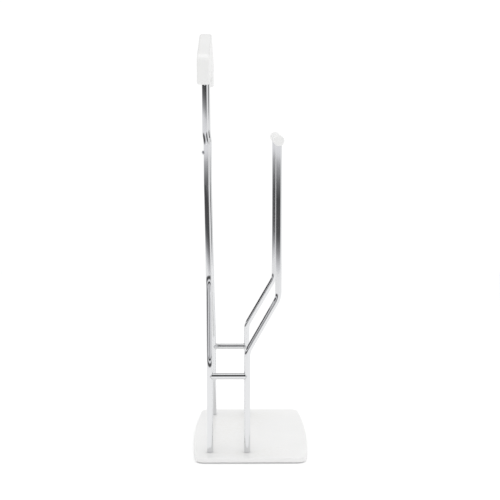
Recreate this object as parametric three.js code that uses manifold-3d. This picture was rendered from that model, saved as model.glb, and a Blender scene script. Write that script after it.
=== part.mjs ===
// A valet stand: a white board that carries two chromed side frames, a white trouser bar across the front
// uprights and a white coat hanger on top of the rear uprights.
//
// Millimetres, +Z up. The origin is on the floor under the middle of the board. X runs along the board's length,
// which is the width of the stand, and the front of the stand, with the trouser bar, faces -Y.

import * as THREE from "three";
import { mergeVertices } from "three/addons/utils/BufferGeometryUtils.js";
import Module from "manifold-3d";

const wasm = await Module();
wasm.setup();

// Driving dimensions -----------------------------------------------------------------------------------------------

const GAP = 0.3; // clearance between pieces that touch

// Board and what is under it
const GLIDE_HEIGHT = 2;
const GLIDE_RADIUS = 12;
const GLIDE_X = 196;
const GLIDE_Y = 116;
const BOARD_LENGTH = 452;
const BOARD_DEPTH = 304;
const BOARD_THICKNESS = 12;
const BOARD_SIDE_RADIUS = 2100; // the two long sides bow outwards on this radius
const BOARD_CORNER_RADIUS = 22;
const BOARD_EDGE_ROUND = 1.5;
const BOARD_TOP = GLIDE_HEIGHT + BOARD_THICKNESS;

// Tubes
const TUBE_RADIUS = 8;
const TUBE_WALL = 1.2;
const TUBE_BORE = TUBE_RADIUS - TUBE_WALL;
const TUBE_FOOT = BOARD_TOP + GAP;
const FOOT_X = 174;
const REAR_FOOT_Y = 105;
const FRONT_FOOT_Y = 9;
const RUNG_HEIGHT = BOARD_TOP + 202;

// Rear uprights: they draw in above the rungs, then run up side by side to the seam where the upper tubes plug in
const SHOULDER_LOW = BOARD_TOP + 240;
const SHOULDER_HIGH = BOARD_TOP + 430;
const BACK_X = 93;
const LEAN_END = BOARD_TOP + 690;
const SEAM_HEIGHT = BOARD_TOP + 793;
const SEAM_Y = 113;
const SHOULDER_RADIUS = 120;
const LEAN_END_RADIUS = 300;

// Upper tubes: a small jog just above the seam sets them back under the hanger
const JOG_LOW = BOARD_TOP + 799;
const JOG_HIGH = BOARD_TOP + 822;
const HANGER_Y = 117;
const UPPER_TUBE_TOP = BOARD_TOP + 989;
const JOG_RADIUS = 30;
const SPIGOT_LENGTH = 45;
const SPIGOT_RADIUS = TUBE_BORE - GAP;
const SPIGOT_BORE = 5.2;

// Front uprights: they step forwards, then run straight up to the trouser bar
const STEP_LOW = BOARD_TOP + 266;
const STEP_HIGH = BOARD_TOP + 406;
const FRONT_TOP_Y = -71;
const FRONT_TOP_X = 166;
const FRONT_BEND_RADIUS = 52;
const BAR_HEIGHT = BOARD_TOP + 806;
const BAR_RADIUS = 13.5;
const BAR_HALF_LENGTH = 178;
const BAR_EDGE_ROUND = 1.5;
const FRONT_TUBE_TOP = BAR_HEIGHT + 2;

// Hanger, seen from the front
const HANGER_THICKNESS = 32;
const HANGER_EDGE_ROUND = 6;
const HANGER_HALF_WIDTH = 200;
const HANGER_APEX = BOARD_TOP + 1080;
const HANGER_END_TOP = BOARD_TOP + 1015;
const HANGER_END_BOTTOM = BOARD_TOP + 942;
const HANGER_MIDDLE_BOTTOM = BOARD_TOP + 985;

// Fasteners
const BOLT_RADIUS = 3;
const BOLT_HEAD_RADIUS = 5.5;
const BOLT_HEAD_HEIGHT = 3.5;
const BOLT_TOP = BOARD_TOP + 15;
const HEX_SOCKET_RADIUS = 2.9;
const HEX_SOCKET_DEPTH = 2;
const WASHER_RADIUS = 7.2;
const WASHER_HEIGHT = 1;
const COUNTERBORE_RADIUS = 8;
const COUNTERBORE_TOP = GLIDE_HEIGHT + 6;
const INSERT_LENGTH = 20;
const INSERT_RADIUS = TUBE_BORE - GAP;
const BAR_STUD_ABOVE = 7; // how far the stud stands out of the front tube, up into the bar
const BAR_STUD_BELOW = 15;
const LOCK_SCREW_HEIGHT = SEAM_HEIGHT - 20;
const LOCK_SCREW_RADIUS = 2.5;
const LOCK_HEAD_RADIUS = 5;
const LOCK_HEAD_HEIGHT = 4.4;
const LOCK_SCREW_LENGTH = 12;
const HANGER_SCREW_HEIGHT = BOARD_TOP + 979;
const HANGER_SCREW_RADIUS = 2;
const HANGER_SCREW_LENGTH = 24;
const HANGER_HEAD_RADIUS = 4.2;
const HANGER_HEAD_HEIGHT = 2.4;
const HANGER_HEAD_RECESS = 1; // how far the head lies below the hanger's back face

// Facets
const TUBE_SIDES = 18;
const ROUND_SIDES = 20;
const BEND_STEPS = 5;
const CORNER_STEPS = 5;
const ROUND_STEPS = 3;

const SIDES = [
  { word: "left", sign: -1 },
  { word: "right", sign: 1 },
];
const UP = new THREE.Vector3(0, 0, 1);
const BACK = new THREE.Vector3(0, 1, 0);
const ACROSS = new THREE.Vector3(1, 0, 0);

const MATERIALS = {
  lacquer: new THREE.MeshStandardMaterial({ color: 0xf1f1ef, roughness: 0.35, metalness: 0 }),
  chrome: new THREE.MeshStandardMaterial({ color: 0xd9dadc, roughness: 0.06, metalness: 1 }),
  steel: new THREE.MeshStandardMaterial({ color: 0x8e9094, roughness: 0.3, metalness: 1 }),
  felt: new THREE.MeshStandardMaterial({ color: 0xb9b7b0, roughness: 0.95, metalness: 0 }),
};

const stand = new THREE.Group();

// Helpers ----------------------------------------------------------------------------------------------------------

function point(x, y, z) {
  return new THREE.Vector3(x, y, z);
}

function add(name, geometry, material) {
  const mesh = new THREE.Mesh(geometry, MATERIALS[material]);
  mesh.name = name;
  stand.add(mesh);
}

// Turns a closed geometry into a solid that can be joined and cut.
function solidFrom(geometry) {
  const bare = geometry.clone();
  bare.deleteAttribute("normal");
  bare.deleteAttribute("uv");
  const merged = mergeVertices(bare, 1e-4);
  return new wasm.Manifold(
    new wasm.Mesh({
      numProp: 3,
      vertProperties: merged.attributes.position.array,
      triVerts: new Uint32Array(merged.index.array),
    }),
  );
}

function geometryFrom(solid) {
  const mesh = solid.getMesh();
  return new THREE.BufferGeometry()
    .setAttribute("position", new THREE.BufferAttribute(mesh.vertProperties, 3))
    .setIndex(new THREE.BufferAttribute(mesh.triVerts, 1));
}

function cut(solid, ...tools) {
  return tools.reduce((rest, tool) => rest.subtract(tool), solid);
}

// Rounds one corner: points and directions along an arc that is tangent to both straight runs.
function cornerArc(before, corner, after, radius, steps) {
  const into = corner.clone().sub(before).normalize();
  const out = after.clone().sub(corner).normalize();
  const turn = into.angleTo(out);
  const axis = into.clone().cross(out).normalize();
  const start = corner.clone().addScaledVector(into, -radius * Math.tan(turn / 2));
  const centre = start.clone().addScaledVector(axis.clone().cross(into), radius);
  const spoke = start.clone().sub(centre);
  return Array.from({ length: steps + 1 }, (_, i) => {
    const angle = (turn * i) / steps;
    return {
      place: centre.clone().add(spoke.clone().applyAxisAngle(axis, angle)),
      heading: into.clone().applyAxisAngle(axis, angle),
    };
  });
}

// The centreline of a bent tube: straight runs between corners, and an arc at each inner corner. The stations stand
// only where the line starts, ends or turns.
class TubeLine extends THREE.Curve {
  constructor(corners, radii) {
    super();
    const last = corners.length - 1;
    const heading = (i) => corners[i + 1].clone().sub(corners[i]).normalize();
    this.stations = [{ place: corners[0], heading: heading(0) }];
    for (let i = 1; i < last; i += 1) {
      this.stations.push(...cornerArc(corners[i - 1], corners[i], corners[i + 1], radii[i - 1], BEND_STEPS));
    }
    this.stations.push({ place: corners[last], heading: heading(last - 1) });
  }

  get steps() {
    return this.stations.length - 1;
  }

  getPointAt(u) {
    return this.stations[Math.round(u * this.steps)].place.clone();
  }

  getTangentAt(u) {
    return this.stations[Math.round(u * this.steps)].heading.clone();
  }
}

// A section swept along a centreline: a rod, or a tube where a bore is given.
function swept(line, radius, bore = 0) {
  const section = new THREE.Shape().absarc(0, 0, radius, 0, 2 * Math.PI);
  if (bore > 0) {
    section.holes.push(new THREE.Path().absarc(0, 0, bore, 0, 2 * Math.PI, true));
  }
  return new THREE.ExtrudeGeometry(section, {
    steps: line.steps,
    curveSegments: TUBE_SIDES / 2, // three.js gives a full circle two sides for each
    bevelEnabled: false,
    extrudePath: line,
  });
}

// A turned piece: [radius, height] pairs that start and end on the axis, set at a place with its axis along a direction.
function turned(profile, place, direction = UP, sides = ROUND_SIDES) {
  const geometry = new THREE.LatheGeometry(
    profile.map(([radius, height]) => new THREE.Vector2(radius, height)),
    sides,
  );
  const facing = new THREE.Quaternion().setFromUnitVectors(new THREE.Vector3(0, 1, 0), direction);
  return geometry.applyQuaternion(facing).translate(place.x, place.y, place.z);
}

function rod(radius, length, place, direction = UP, sides = ROUND_SIDES) {
  return turned([[0, 0], [radius, 0], [radius, length], [0, length]], place, direction, sides);
}

// A ring profile closes on itself, so that the middle stays open.
function ring(outer, inner, length, place, direction = UP) {
  return turned([[inner, 0], [outer, 0], [outer, length], [inner, length], [inner, 0]], place, direction);
}

// A closed outline with rounded corners, from [x, y, radius] entries. A radius of 0 keeps the corner sharp.
function roundedOutline(entries) {
  const corners = entries.map(([x, y]) => point(x, y, 0));
  const count = corners.length;
  const outline = entries.flatMap(([, , radius], i) => {
    if (radius === 0) {
      return [corners[i]];
    }
    const before = corners[(i + count - 1) % count];
    const after = corners[(i + 1) % count];
    return cornerArc(before, corners[i], after, radius, CORNER_STEPS).map((station) => station.place);
  });
  return new THREE.Shape(outline.map((p) => new THREE.Vector2(p.x, p.y)));
}

// A flat plate of the outline with rounded long edges, lying on z = 0.
function plate(outline, thickness, edgeRound) {
  return new THREE.ExtrudeGeometry(outline, {
    depth: thickness - 2 * edgeRound,
    bevelEnabled: true,
    bevelSize: edgeRound,
    bevelThickness: edgeRound,
    bevelOffset: -edgeRound,
    bevelSegments: ROUND_STEPS,
  }).translate(0, 0, edgeRound);
}

// Centrelines ------------------------------------------------------------------------------------------------------

// The rear frame leans back a little between its lowest and its highest bend: its place front to back at a height.
function rearY(height) {
  const share = (height - SHOULDER_LOW) / (LEAN_END - SHOULDER_LOW);
  return REAR_FOOT_Y + (SEAM_Y - REAR_FOOT_Y) * Math.min(1, Math.max(0, share));
}

function rearLine(sign) {
  const corner = (x, height) => point(sign * x, rearY(height), height);
  return new TubeLine(
    [
      corner(FOOT_X, TUBE_FOOT),
      corner(FOOT_X, SHOULDER_LOW),
      corner(BACK_X, SHOULDER_HIGH),
      corner(BACK_X, LEAN_END),
      corner(BACK_X, SEAM_HEIGHT - GAP),
    ],
    [SHOULDER_RADIUS, SHOULDER_RADIUS, LEAN_END_RADIUS],
  );
}

function upperLine(sign) {
  return new TubeLine(
    [
      point(sign * BACK_X, SEAM_Y, SEAM_HEIGHT),
      point(sign * BACK_X, SEAM_Y, JOG_LOW),
      point(sign * BACK_X, HANGER_Y - 1, JOG_HIGH),
      point(sign * BACK_X, HANGER_Y, UPPER_TUBE_TOP),
    ],
    [JOG_RADIUS, JOG_RADIUS],
  );
}

function frontLine(sign, top = FRONT_TUBE_TOP) {
  return new TubeLine(
    [
      point(sign * FOOT_X, FRONT_FOOT_Y, TUBE_FOOT),
      point(sign * FOOT_X, FRONT_FOOT_Y, STEP_LOW),
      point(sign * FRONT_TOP_X, FRONT_TOP_Y, STEP_HIGH),
      point(sign * FRONT_TOP_X, FRONT_TOP_Y, top),
    ],
    [FRONT_BEND_RADIUS, FRONT_BEND_RADIUS],
  );
}

// Board ------------------------------------------------------------------------------------------------------------

const FEET = SIDES.flatMap(({ word, sign }) => [
  { word: `rear_${word}`, x: sign * FOOT_X, y: REAR_FOOT_Y },
  { word: `front_${word}`, x: sign * FOOT_X, y: FRONT_FOOT_Y },
]);

function boardOutline() {
  const halfLength = BOARD_LENGTH / 2;
  const stations = [-1, -0.75, -0.5, -0.25, 0, 0.25, 0.5, 0.75, 1].map((share) => share * halfLength);
  const halfDepth = (x) => {
    const sagitta = BOARD_SIDE_RADIUS - Math.sqrt(BOARD_SIDE_RADIUS ** 2 - x ** 2);
    return BOARD_DEPTH / 2 - sagitta;
  };
  const radius = (x) => (Math.abs(x) === halfLength ? BOARD_CORNER_RADIUS : 0);
  const front = stations.map((x) => [x, -halfDepth(x), radius(x)]);
  const back = stations.map((x) => [-x, halfDepth(x), radius(x)]);
  return roundedOutline([...front, ...back]);
}

function makeBoard() {
  const blank = plate(boardOutline(), BOARD_THICKNESS, BOARD_EDGE_ROUND).translate(0, 0, GLIDE_HEIGHT);
  const holes = FEET.flatMap(({ x, y }) => [
    rod(BOLT_RADIUS + GAP, BOARD_THICKNESS + 2, point(x, y, GLIDE_HEIGHT - 1)),
    rod(COUNTERBORE_RADIUS, COUNTERBORE_TOP, point(x, y, 0)),
  ]);
  add("base_board", geometryFrom(cut(solidFrom(blank), ...holes.map(solidFrom))), "lacquer");
}

function makeGlides() {
  for (const { word, sign } of SIDES) {
    for (const [end, y] of [["rear", GLIDE_Y], ["front", -GLIDE_Y]]) {
      const place = point(sign * GLIDE_X, y, 0);
      add(`glide_${end}_${word}`, rod(GLIDE_RADIUS, GLIDE_HEIGHT - GAP, place), "felt");
    }
  }
}

function makeBaseFixings() {
  const washerBottom = COUNTERBORE_TOP - GAP - WASHER_HEIGHT;
  const headTop = washerBottom - GAP;
  const headBottom = headTop - BOLT_HEAD_HEIGHT;
  for (const { word, x, y } of FEET) {
    const bolt = turned(
      [
        [0, 0],
        [BOLT_HEAD_RADIUS, 0],
        [BOLT_HEAD_RADIUS, BOLT_HEAD_HEIGHT],
        [BOLT_RADIUS, BOLT_HEAD_HEIGHT],
        [BOLT_RADIUS, BOLT_TOP - headBottom],
        [0, BOLT_TOP - headBottom],
      ],
      point(x, y, headBottom),
    );
    const socket = rod(HEX_SOCKET_RADIUS, HEX_SOCKET_DEPTH + 1, point(x, y, headBottom - 1), UP, 6);
    add(`base_bolt_${word}`, geometryFrom(cut(solidFrom(bolt), solidFrom(socket))), "steel");
    const washer = ring(WASHER_RADIUS, BOLT_RADIUS + GAP, WASHER_HEIGHT, point(x, y, washerBottom));
    add(`base_washer_${word}`, washer, "steel");
    const insert = ring(INSERT_RADIUS, BOLT_RADIUS + GAP, INSERT_LENGTH, point(x, y, TUBE_FOOT));
    add(`foot_insert_${word}`, insert, "steel");
  }
}

// Side frames ------------------------------------------------------------------------------------------------------

// The axis of a lock screw, from the back of the rear frame forwards.
function lockScrewPlace(sign) {
  return point(sign * BACK_X, rearY(LOCK_SCREW_HEIGHT) + TUBE_RADIUS + GAP, LOCK_SCREW_HEIGHT);
}

function makeRearUpright({ word, sign }) {
  const tube = solidFrom(swept(rearLine(sign), TUBE_RADIUS, TUBE_BORE));
  const screwHole = rod(LOCK_SCREW_RADIUS + GAP, TUBE_RADIUS, lockScrewPlace(sign), BACK.clone().negate());
  add(`rear_upright_${word}`, geometryFrom(cut(tube, solidFrom(screwHole))), "chrome");
}

function makeFrontUpright({ word, sign }) {
  add(`front_upright_${word}`, swept(frontLine(sign), TUBE_RADIUS, TUBE_BORE), "chrome");
}

// A rung's ends are shaped to the round of the two uprights that it joins.
function makeRung({ word, sign }) {
  const line = new TubeLine(
    [point(sign * FOOT_X, FRONT_FOOT_Y, RUNG_HEIGHT), point(sign * FOOT_X, rearY(RUNG_HEIGHT), RUNG_HEIGHT)],
    [],
  );
  const tube = solidFrom(swept(line, TUBE_RADIUS, TUBE_BORE));
  const uprights = [rearLine(sign), frontLine(sign)].map((upright) => solidFrom(swept(upright, TUBE_RADIUS + GAP)));
  add(`rung_${word}`, geometryFrom(cut(tube, ...uprights)), "chrome");
}

// An upper tube's lower end is drawn down to a spigot that slides into the rear upright.
function makeUpperTube({ word, sign }) {
  const tube = solidFrom(swept(upperLine(sign), TUBE_RADIUS, TUBE_BORE));
  const spigot = turned(
    [
      [SPIGOT_BORE, 0],
      [SPIGOT_RADIUS - GAP, 0],
      [SPIGOT_RADIUS, 1],
      [SPIGOT_RADIUS, SPIGOT_LENGTH],
      [TUBE_BORE + 0.6, SPIGOT_LENGTH],
      [TUBE_BORE + 0.6, SPIGOT_LENGTH + 4],
      [SPIGOT_BORE, SPIGOT_LENGTH + 4],
      [SPIGOT_BORE, 0],
    ],
    point(sign * BACK_X, SEAM_Y, SEAM_HEIGHT - SPIGOT_LENGTH),
  );
  const lockHole = rod(LOCK_SCREW_RADIUS + GAP, LOCK_SCREW_LENGTH, lockScrewPlace(sign), BACK.clone().negate());
  const joined = tube.add(solidFrom(spigot));
  const holes = [solidFrom(lockHole), solidFrom(hangerScrewHole(sign))];
  add(`upper_tube_${word}`, geometryFrom(cut(joined, ...holes)), "chrome");
}

function makeLockScrew({ word, sign }) {
  const screw = turned(
    [
      [0, -LOCK_HEAD_HEIGHT],
      [LOCK_HEAD_RADIUS - 2, -LOCK_HEAD_HEIGHT],
      [LOCK_HEAD_RADIUS - 0.6, -LOCK_HEAD_HEIGHT + 1.4],
      [LOCK_HEAD_RADIUS, -1],
      [LOCK_HEAD_RADIUS, 0],
      [LOCK_SCREW_RADIUS, 0],
      [LOCK_SCREW_RADIUS, LOCK_SCREW_LENGTH],
      [0, LOCK_SCREW_LENGTH],
    ],
    lockScrewPlace(sign),
    BACK.clone().negate(),
  );
  const socketPlace = lockScrewPlace(sign).addScaledVector(BACK, LOCK_HEAD_HEIGHT + 1);
  const socket = rod(2, HEX_SOCKET_DEPTH + 1, socketPlace, BACK.clone().negate(), 6);
  add(`lock_screw_${word}`, geometryFrom(cut(solidFrom(screw), solidFrom(socket))), "steel");
}

// Trouser bar ------------------------------------------------------------------------------------------------------

function barStudLine(sign, extra = 0) {
  const line = frontLine(sign);
  const { place, heading } = line.stations[line.steps];
  const bottom = place.clone().addScaledVector(heading, -BAR_STUD_BELOW);
  const top = place.clone().addScaledVector(heading, BAR_STUD_ABOVE + extra);
  return new TubeLine([bottom, top], []);
}

function makeTrouserBar() {
  const blank = turned(
    [
      [0, 0],
      [BAR_RADIUS - BAR_EDGE_ROUND, 0],
      [BAR_RADIUS, BAR_EDGE_ROUND],
      [BAR_RADIUS, 2 * BAR_HALF_LENGTH - BAR_EDGE_ROUND],
      [BAR_RADIUS - BAR_EDGE_ROUND, 2 * BAR_HALF_LENGTH],
      [0, 2 * BAR_HALF_LENGTH],
    ],
    point(-BAR_HALF_LENGTH, FRONT_TOP_Y, BAR_HEIGHT),
    ACROSS,
    2 * ROUND_SIDES,
  );
  const bores = SIDES.flatMap(({ sign }) => [
    swept(frontLine(sign, FRONT_TUBE_TOP + GAP), TUBE_RADIUS + GAP),
    swept(barStudLine(sign, GAP), BOLT_RADIUS + GAP),
  ]);
  add("trouser_bar", geometryFrom(cut(solidFrom(blank), ...bores.map(solidFrom))), "lacquer");
}

function makeBarFixings({ word, sign }) {
  const line = frontLine(sign);
  const { place, heading } = line.stations[line.steps];
  const bottom = place.clone().addScaledVector(heading, -INSERT_LENGTH);
  const insertLine = new TubeLine([bottom, place], []);
  add(`bar_insert_${word}`, swept(insertLine, INSERT_RADIUS, BOLT_RADIUS + GAP), "steel");
  add(`bar_stud_${word}`, swept(barStudLine(sign), BOLT_RADIUS), "steel");
}

// Hanger -----------------------------------------------------------------------------------------------------------

function hangerScrewPlace(sign) {
  return point(sign * BACK_X, HANGER_Y + HANGER_THICKNESS / 2 - HANGER_HEAD_RECESS, HANGER_SCREW_HEIGHT);
}

function hangerScrewHole(sign) {
  return rod(HANGER_SCREW_RADIUS + GAP, HANGER_SCREW_LENGTH + 1, hangerScrewPlace(sign), BACK.clone().negate());
}

function hangerOutline() {
  const arm = [
    [HANGER_HALF_WIDTH, HANGER_END_BOTTOM, 10],
    [HANGER_HALF_WIDTH, HANGER_END_TOP, 20],
  ];
  const otherArm = arm.map(([x, z, radius]) => [-x, z, radius]).reverse();
  return roundedOutline([[0, HANGER_MIDDLE_BOTTOM, 90], ...arm, [0, HANGER_APEX + 3, 60], ...otherArm]);
}

function makeHanger() {
  const blank = plate(hangerOutline(), HANGER_THICKNESS, HANGER_EDGE_ROUND)
    .rotateX(Math.PI / 2)
    .translate(0, HANGER_Y + HANGER_THICKNESS / 2, 0);
  const tools = SIDES.flatMap(({ sign }) => {
    const headHole = rod(
      HANGER_HEAD_RADIUS + GAP,
      HANGER_HEAD_HEIGHT + HANGER_HEAD_RECESS + 2 * GAP,
      hangerScrewPlace(sign).addScaledVector(BACK, HANGER_HEAD_RECESS + GAP),
      BACK.clone().negate(),
    );
    const tubeTop = point(sign * BACK_X, HANGER_Y, UPPER_TUBE_TOP + GAP - 60);
    return [rod(TUBE_RADIUS + 2 * GAP, 60, tubeTop), headHole, hangerScrewHole(sign)];
  });
  add("hanger", geometryFrom(cut(solidFrom(blank), ...tools.map(solidFrom))), "lacquer");
}

function makeHangerScrew({ word, sign }) {
  const screw = turned(
    [
      [0, 0],
      [HANGER_HEAD_RADIUS, 0],
      [HANGER_HEAD_RADIUS, 0.8],
      [HANGER_SCREW_RADIUS, HANGER_HEAD_HEIGHT],
      [HANGER_SCREW_RADIUS, HANGER_SCREW_LENGTH],
      [0, HANGER_SCREW_LENGTH],
    ],
    hangerScrewPlace(sign),
    BACK.clone().negate(),
  );
  const socketPlace = hangerScrewPlace(sign).addScaledVector(BACK, 1);
  const socket = rod(1.6, HEX_SOCKET_DEPTH, socketPlace, BACK.clone().negate(), 6);
  add(`hanger_screw_${word}`, geometryFrom(cut(solidFrom(screw), solidFrom(socket))), "steel");
}

// Assembly ---------------------------------------------------------------------------------------------------------

makeGlides();
makeBoard();
makeBaseFixings();
for (const side of SIDES) {
  makeRearUpright(side);
  makeFrontUpright(side);
  makeRung(side);
  makeUpperTube(side);
  makeLockScrew(side);
  makeBarFixings(side);
  makeHangerScrew(side);
}
makeTrouserBar();
makeHanger();

export default stand;
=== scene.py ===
"""Looks of a valet stand: white lacquered board, hanger and trouser bar on bent, chromed steel tubes.

Everything is in metres, in the frame's own axes: +Z up, X across the stand, the front facing -Y. Each
sub-assembly is a class that builds its pieces around the frame's nodes and gives them their finishes.
"""

import logging
import math
from dataclasses import dataclass, field
from enum import Enum
from functools import lru_cache
from typing import Callable, Iterable, Optional, Sequence, Union

import bmesh
import bpy
from bpy.types import Material, Mesh, Node, NodeSocket, NodeTree, Object
from mathutils import Matrix, Vector


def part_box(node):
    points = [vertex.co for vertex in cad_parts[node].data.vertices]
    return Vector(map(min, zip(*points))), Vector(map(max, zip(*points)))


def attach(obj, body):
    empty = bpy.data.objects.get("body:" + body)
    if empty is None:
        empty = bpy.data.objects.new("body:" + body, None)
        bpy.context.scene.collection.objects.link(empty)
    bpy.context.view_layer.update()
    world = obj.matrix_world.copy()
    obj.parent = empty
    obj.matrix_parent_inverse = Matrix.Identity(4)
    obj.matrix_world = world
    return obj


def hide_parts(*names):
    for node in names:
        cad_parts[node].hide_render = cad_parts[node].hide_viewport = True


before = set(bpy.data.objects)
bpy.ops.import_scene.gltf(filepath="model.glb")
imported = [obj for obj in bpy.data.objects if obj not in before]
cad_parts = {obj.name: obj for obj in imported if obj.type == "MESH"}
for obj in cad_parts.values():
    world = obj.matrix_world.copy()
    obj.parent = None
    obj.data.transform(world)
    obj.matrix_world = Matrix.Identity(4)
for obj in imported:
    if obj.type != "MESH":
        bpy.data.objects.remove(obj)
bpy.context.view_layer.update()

MM = 0.001
ROOT = "root"
UP = Vector((0.0, 0.0, 1.0))
BACK = Vector((0.0, 1.0, 0.0))
ACROSS = Vector((1.0, 0.0, 0.0))

Color = tuple[float, float, float]
Span = tuple[float, float]
Feed = Union[NodeSocket, float, tuple]
Feeds = dict[Union[str, int], Feed]

log = logging.getLogger("valet_stand")


class Slot(Enum):
    """The record's material slots."""

    LACQUER = "white_lacquer"
    CHROME = "chrome_tube"
    ZINC = "zinc_steel"
    FELT = "grey_felt"


class Side(Enum):
    """The two halves of the stand, with the sign of X on each."""

    LEFT = -1
    RIGHT = 1

    @property
    def word(self) -> str:
        """The side's name as the frame's nodes spell it."""
        return self.name.lower()


# Node trees


class Graph:
    """A node tree under construction."""

    def __init__(self, tree: NodeTree) -> None:
        """Takes the tree that the nodes go into."""
        self.tree = tree

    def add(self, kind: str, inputs: Optional[Feeds] = None, **settings: object) -> Node:
        """Adds a node.

        Args:
            kind: the node's type name.
            inputs: what feeds each input, another node's output or a plain value.
            settings: properties to set on the node.

        Returns:
            The new node.
        """
        node = self.tree.nodes.new(kind)
        for name, value in settings.items():
            setattr(node, name, value)
        self.feed(node, inputs or {})
        return node

    def feed(self, node: Node, inputs: Feeds) -> None:
        """Links or sets a node's inputs.

        Args:
            node: the node.
            inputs: what feeds each input, another node's output or a plain value.
        """
        for label, value in inputs.items():
            if isinstance(value, NodeSocket):
                self.tree.links.new(value, node.inputs[label])
            else:
                node.inputs[label].default_value = value

    def calc(self, operation: str, *values: Feed) -> NodeSocket:
        """Adds a math node and returns its result."""
        return self.add("ShaderNodeMath", dict(enumerate(values)), operation=operation).outputs[0]

    def product(self, first: NodeSocket, *others: NodeSocket) -> NodeSocket:
        """Multiplies sockets.

        Args:
            first: the first factor.
            others: the other factors.

        Returns:
            The product's socket.
        """
        result = first
        for other in others:
            result = self.calc("MULTIPLY", result, other)
        return result

    def where(self) -> NodeSocket:
        """The object coordinates."""
        return self.add("ShaderNodeTexCoord").outputs["Object"]

    def noise(
        self, place: NodeSocket, scale: float, detail: float, stretch: Optional[Color] = None
    ) -> NodeSocket:
        """Adds a noise texture, stretched along the axes where that is asked.

        Args:
            place: the coordinates.
            scale: the pattern's scale, in repeats over a metre.
            detail: the number of octaves.
            stretch: factors along X, Y and Z, under 1 for a longer grain.

        Returns:
            The noise value's socket.
        """
        if stretch is not None:
            place = self.add("ShaderNodeMapping", {"Vector": place, "Scale": stretch}).outputs["Vector"]
        inputs = {"Vector": place, "Scale": scale, "Detail": detail}
        return self.add("ShaderNodeTexNoise", inputs).outputs["Fac"]

    def remap(self, value: NodeSocket, source: Span, target: Span = (0.0, 1.0)) -> NodeSocket:
        """Adds a clamped range map.

        Args:
            value: the socket to map.
            source: the range that comes in.
            target: the range that goes out.

        Returns:
            The mapped value's socket.
        """
        inputs = dict(zip(("From Min", "From Max", "To Min", "To Max"), (*source, *target)))
        return self.add("ShaderNodeMapRange", {"Value": value, **inputs}).outputs["Result"]

    def effect(self, maker: Callable[[], NodeTree], amount: float) -> bpy.types.NodeOutputs:
        """Places a shared effect at a strength and returns its outputs."""
        return self.add("ShaderNodeGroup", {"Amount": amount}, node_tree=shared(maker)).outputs


class Group(Graph):
    """A node group under construction, with named inputs and outputs."""

    def __init__(self, name: str, kind: str, inputs: dict[str, str], outputs: dict[str, str]) -> None:
        """Starts the group.

        Args:
            name: the group's name.
            kind: "ShaderNodeTree" or "GeometryNodeTree".
            inputs: each input's name and socket type, such as "Float" or "Material".
            outputs: each output's name and socket type.
        """
        super().__init__(bpy.data.node_groups.new(name, kind))
        for way, sockets in (("INPUT", inputs), ("OUTPUT", outputs)):
            for label, socket in sockets.items():
                self.tree.interface.new_socket(label, in_out=way, socket_type=f"NodeSocket{socket}")
        self.given = self.add("NodeGroupInput").outputs
        self.result = self.add("NodeGroupOutput")

    def finish(self, **outputs: NodeSocket) -> NodeTree:
        """Feeds the group's outputs and returns the finished tree."""
        self.feed(self.result, outputs)
        return self.tree


@lru_cache(maxsize=None)
def shared(maker: Callable[[], NodeTree]) -> NodeTree:
    """The tree that a function makes, made once."""
    return maker()


def make_dust_group() -> NodeTree:
    """Makes fine settled dust, thicker on faces that look up.

    Returns:
        A group with a mask from 0 to 1.
    """
    group = Group("settled_dust", "ShaderNodeTree", {"Amount": "Float"}, {"Mask": "Float"})
    where = group.where()
    specks = group.remap(group.noise(where, 900.0, 3.0), (0.58, 0.75))
    drifts = group.remap(group.noise(where, 14.0, 4.0), (0.35, 0.75), (0.2, 1.0))
    normal = group.add("ShaderNodeNewGeometry").outputs["Normal"]
    facing = group.add("ShaderNodeSeparateXYZ", {"Vector": normal})
    upward = group.remap(facing.outputs["Z"], (0.2, 1.0), (0.05, 1.0))
    return group.finish(Mask=group.product(specks, drifts, upward, group.given["Amount"]))


def make_edge_group() -> NodeTree:
    """Makes wear where a surface turns sharply.

    Returns:
        A group with a mask from 0 on flats to 1 on worn edges.
    """
    group = Group("edge_wear", "ShaderNodeTree", {"Amount": "Float"}, {"Mask": "Float"})
    surface = group.add("ShaderNodeNewGeometry")
    edge = group.remap(surface.outputs["Pointiness"], (0.53, 0.62))
    broken = group.remap(group.noise(group.where(), 120.0, 4.0), (0.4, 0.62))
    return group.finish(Mask=group.product(edge, broken, group.given["Amount"]))


def make_handling_group() -> NodeTree:
    """Makes smears and hairline scratches from handling.

    Returns:
        A group with a smear mask and a scratch mask.
    """
    outputs = {"Smear": "Float", "Scratch": "Float"}
    group = Group("handling_marks", "ShaderNodeTree", {"Amount": "Float"}, outputs)
    where = group.where()
    amount = group.given["Amount"]
    smear = group.remap(group.noise(where, 22.0, 5.0), (0.42, 0.75))
    scratch = group.remap(group.noise(where, 700.0, 2.0, (1.0, 1.0, 0.03)), (0.66, 0.74))
    return group.finish(Smear=group.product(smear, amount), Scratch=group.product(scratch, amount))


# Finishes

BARE_EDGE = (0.74, 0.73, 0.70)
DUST_ON_WHITE = (0.70, 0.69, 0.67)
DUST_ON_METAL = (0.55, 0.54, 0.52)
EVEN_GRAIN = (1.0, 1.0, 1.0)


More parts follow.
